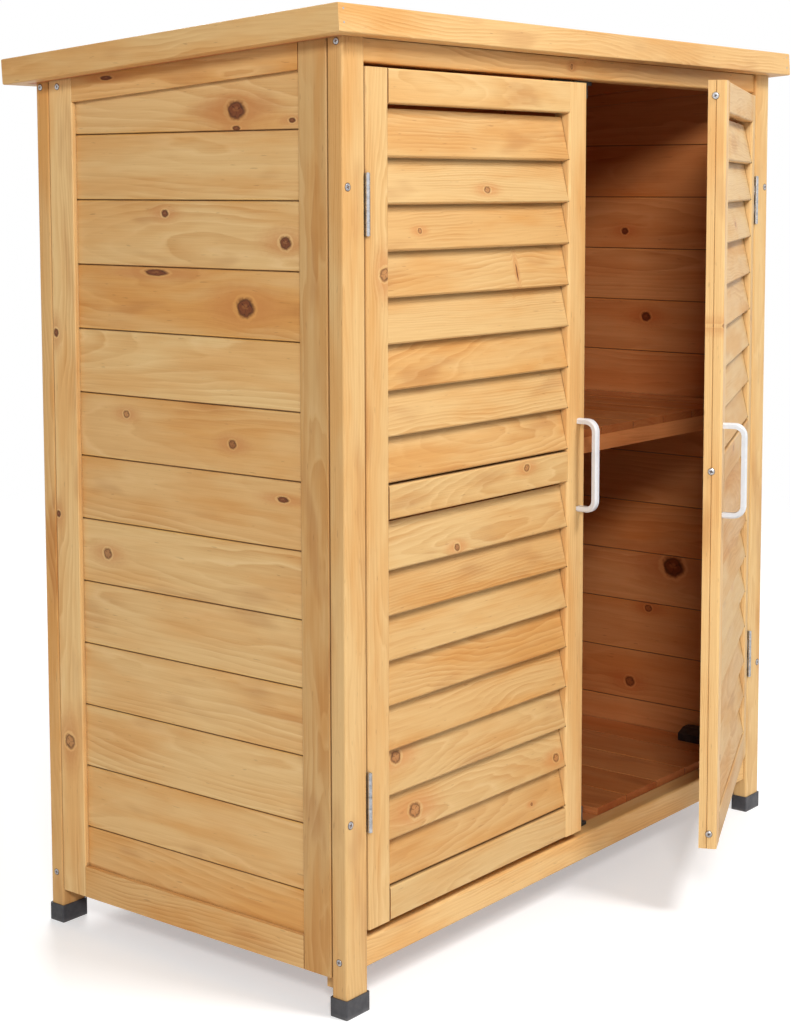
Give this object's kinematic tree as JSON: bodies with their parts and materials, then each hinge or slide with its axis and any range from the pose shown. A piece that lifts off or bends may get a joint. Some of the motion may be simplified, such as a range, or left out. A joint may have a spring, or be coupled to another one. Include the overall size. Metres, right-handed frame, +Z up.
{
  "type": "garden storage cabinet",
  "caption": "Garden storage cabinet of honey-stained fir with louvred doors on butt hinges, tongued side boards, an inner shelf, a lid roof that falls to the back and capped feet.",
  "frame": {"origin": "on the floor, at the centre of the footprint of the four posts", "axes": "+X to the right along the front, +Y from the doors to the back wall, +Z up"},
  "size_m": [0.87, 0.6261, 0.9699],
  "materials": {
    "oiled_fir": "satin",
    "cap_plastic": "matte",
    "black_plastic": "matte",
    "handle_plastic": "gloss",
    "zinc_steel": "satin",
    "roof_felt": "matte"
  },
  "bodies": {
    "cabinet": {"back_boards": "oiled_fir", "back_left_foot_cap": "cap_plastic", "back_left_post": "oiled_fir", "back_rails": "oiled_fir", "back_right_foot_cap": "cap_plastic", "back_right_post": "oiled_fir", "floor_battens": "oiled_fir", "floor_boards": "oiled_fir", "floor_brackets": "black_plastic", "front_bottom_rail": "oiled_fir", "front_corner_blocks": "oiled_fir", "front_header": "oiled_fir", "front_left_foot_cap": "cap_plastic", "front_left_post": "oiled_fir", "front_right_foot_cap": "cap_plastic", "front_right_post": "oiled_fir", "hinge_pins": "zinc_steel", "hinge_post_leaves": "zinc_steel", "left_back_stile": "oiled_fir", "left_bottom_rail": "oiled_fir", "left_front_stile": "oiled_fir", "left_side_boards": "oiled_fir", "left_top_rail": "oiled_fir", "magnetic_catches": "black_plastic", "right_back_stile": "oiled_fir", "right_bottom_rail": "oiled_fir", "right_front_stile": "oiled_fir", "right_side_boards": "oiled_fir", "right_top_rail": "oiled_fir", "roof_back_fascia": "oiled_fir", "roof_boards": "oiled_fir", "roof_felt": "roof_felt", "roof_front_fascia": "oiled_fir", "roof_rafters": "oiled_fir", "roof_side_fascias": "oiled_fir", "shelf_bearers": "oiled_fir", "shelf_boards": "oiled_fir"},
    "left_door": {"left_door_bottom_rail": "oiled_fir", "left_door_free_stile": "oiled_fir", "left_door_handle": "handle_plastic", "left_door_hinge_stile": "oiled_fir", "left_door_lower_slats": "oiled_fir", "left_door_mid_rail": "oiled_fir", "left_door_strikes": "zinc_steel", "left_door_top_rail": "oiled_fir", "left_door_upper_slats": "oiled_fir", "left_hinge_door_leaves": "zinc_steel"},
    "right_door": {"right_door_bottom_rail": "oiled_fir", "right_door_free_stile": "oiled_fir", "right_door_handle": "handle_plastic", "right_door_hinge_stile": "oiled_fir", "right_door_lower_slats": "oiled_fir", "right_door_mid_rail": "oiled_fir", "right_door_strikes": "zinc_steel", "right_door_top_rail": "oiled_fir", "right_door_upper_slats": "oiled_fir", "right_hinge_door_leaves": "zinc_steel"}
  },
  "joints": [
    {"name": "left_door_hinge", "type": "hinge", "parent": "cabinet", "child": "left_door", "pos_m": [-0.3785, -0.216, 0.4974], "axis": [0, 0, -1], "range_deg": [0, 170]},
    {"name": "right_door_hinge", "type": "hinge", "parent": "cabinet", "child": "right_door", "pos_m": [0.3785, -0.216, 0.4974], "axis": [0, 0, 1], "range_deg": [-23.9, 146]}
  ]
}
